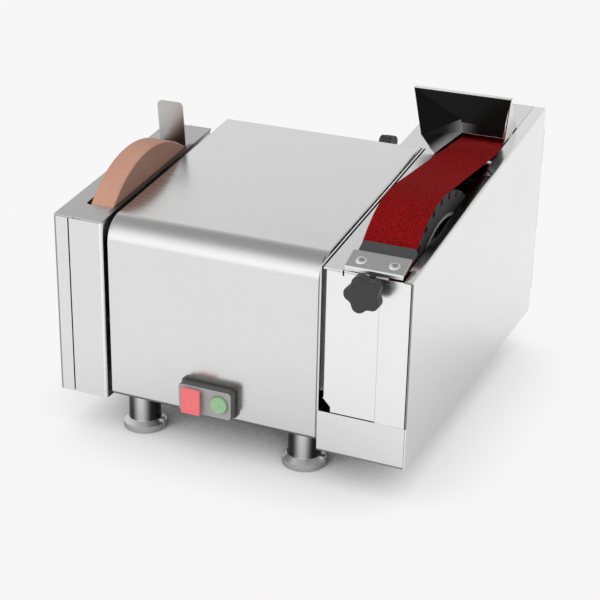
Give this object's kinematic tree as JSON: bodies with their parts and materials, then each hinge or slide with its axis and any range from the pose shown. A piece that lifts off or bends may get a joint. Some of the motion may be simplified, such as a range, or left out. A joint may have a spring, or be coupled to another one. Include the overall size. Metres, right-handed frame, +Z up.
{
  "type": "wet grinding sharpener",
  "caption": "Bench wet sharpener: stone wheel in a water tray, motor under a folded steel cover, and a wet abrasive belt with knife rest and splash hood.",
  "frame": {"origin": "middle of the box's underside, on the plane of the foot soles", "axes": "+X to the machine's right as the user faces it, +Y to its back, +Z up; the spindle runs along X"},
  "size_m": [0.3542, 0.4206, 0.2994],
  "materials": {
    "brushed_stainless": "brushed sheet",
    "polished_steel": "turned and polished",
    "foot_grey": "satin turned",
    "cast_alloy": "as cast, turned faces",
    "motor_paint": "satin enamel",
    "rotor_steel": "ground",
    "black_plastic": "moulded",
    "capacitor_white": "moulded",
    "switch_dark": "moulded",
    "switch_grey": "moulded",
    "stop_red": "moulded",
    "start_green": "moulded",
    "stone": "fine vitrified grain",
    "rubber": "moulded rubber",
    "abrasive": "abrasive grain on cloth",
    "hood_sheet": "black inside, bare steel outside"
  },
  "bodies": {
    "frame": {"chassis": "brushed_stainless", "motor_cover": "brushed_stainless", "rear_panel": "brushed_stainless", "rear_panel_screws": "polished_steel", "cable_gland": "black_plastic", "foot_tubes": "polished_steel", "foot_flanges": "foot_grey", "foot_bolts": "polished_steel", "motor_cradle": "motor_paint", "motor_stator": "motor_paint", "motor_end_shields": "cast_alloy", "motor_bearings": "polished_steel", "motor_capacitor": "capacitor_white", "switch_housing": "switch_dark", "switch_face": "switch_grey", "switch_block": "black_plastic", "stone_housing": "brushed_stainless", "stone_housing_top": "brushed_stainless", "stone_water_tray": "brushed_stainless", "stone_splash_plate": "brushed_stainless", "stone_shaft_seal": "rubber", "belt_shaft_seal": "rubber", "belt_housing_wall": "brushed_stainless", "belt_housing_front": "brushed_stainless", "belt_housing_top": "brushed_stainless", "belt_housing_back": "brushed_stainless", "belt_water_tank": "brushed_stainless", "tank_drain_plug": "black_plastic", "door_hinge_leaf": "brushed_stainless", "door_hinge_pin": "polished_steel", "abrasive_belt": "abrasive", "splash_hood": "hood_sheet", "housing_spacers": "polished_steel", "housing_bolts": "polished_steel"},
    "spindle": {"spindle_shaft": "polished_steel", "motor_rotor": "rotor_steel", "grinding_stone": "stone", "stone_flanges": "polished_steel", "stone_nut": "polished_steel", "contact_wheel_hub": "cast_alloy", "contact_wheel_tyre": "rubber", "contact_wheel_nut": "polished_steel"},
    "tension_carriage": {"tension_carriage": "brushed_stainless", "idler_axle": "polished_steel", "idler_clip": "polished_steel"},
    "idler": {"idler_roller": "polished_steel", "idler_bearings": "polished_steel"},
    "tension_knob": {"tension_knob": "black_plastic", "tension_stud": "polished_steel"},
    "knife_rest": {"rest_bracket": "brushed_stainless", "rest_pad": "rubber", "rest_screws": "polished_steel", "rest_nut": "polished_steel"},
    "rest_knob": {"rest_knob": "black_plastic", "rest_stud": "polished_steel"},
    "stop_button": {"stop_button": "stop_red"},
    "start_button": {"start_button": "start_green"},
    "belt_door": {"belt_door": "brushed_stainless"},
    "stone_cover": {"stone_side_cover": "brushed_stainless"}
  },
  "joints": [
    {"name": "spindle_spin", "type": "hinge", "parent": "frame", "child": "spindle", "pos_m": [0, -0.074, 0.1535], "axis": [1, 0, 0], "continuous": true},
    {"name": "tension_slide", "type": "slide", "parent": "frame", "child": "tension_carriage", "axis": [0, -0.9656, -0.2601], "range_m": [0, 0.008]},
    {"name": "idler_spin", "type": "hinge", "parent": "tension_carriage", "child": "idler", "pos_m": [0, 0.158, 0.216], "axis": [1, 0, 0], "continuous": true},
    {"name": "tension_knob_turn", "type": "hinge", "parent": "tension_carriage", "child": "tension_knob", "pos_m": [0, 0.092, 0.233], "axis": [1, 0, 0], "continuous": true},
    {"name": "rest_height", "type": "slide", "parent": "frame", "child": "knife_rest", "axis": [0, 0, 1], "range_m": [0, 0.008]},
    {"name": "rest_knob_turn", "type": "hinge", "parent": "knife_rest", "child": "rest_knob", "pos_m": [0.1392, -0.187, 0.206], "axis": [0, 1, 0], "continuous": true},
    {"name": "stop_press", "type": "slide", "parent": "frame", "child": "stop_button", "axis": [0, 1, 0], "range_m": [0, 0.003], "stiffness_N_per_m": 600},
    {"name": "start_press", "type": "slide", "parent": "frame", "child": "start_button", "axis": [0, 1, 0], "range_m": [0, 0.003], "stiffness_N_per_m": 600},
    {"name": "door_swing", "type": "hinge", "parent": "frame", "child": "belt_door", "pos_m": [0.1741, 0.2073, 0.1], "axis": [0, 0, 1], "range_deg": [0, 100]},
    {"name": "stone_cover_pull", "type": "slide", "parent": "frame", "child": "stone_cover", "axis": [-1, 0, 0], "range_m": [0, 0.06]}
  ],
  "couplings": [
    {"joint": "idler_spin", "follows": "spindle_spin", "ratio": 3.4333}
  ]
}
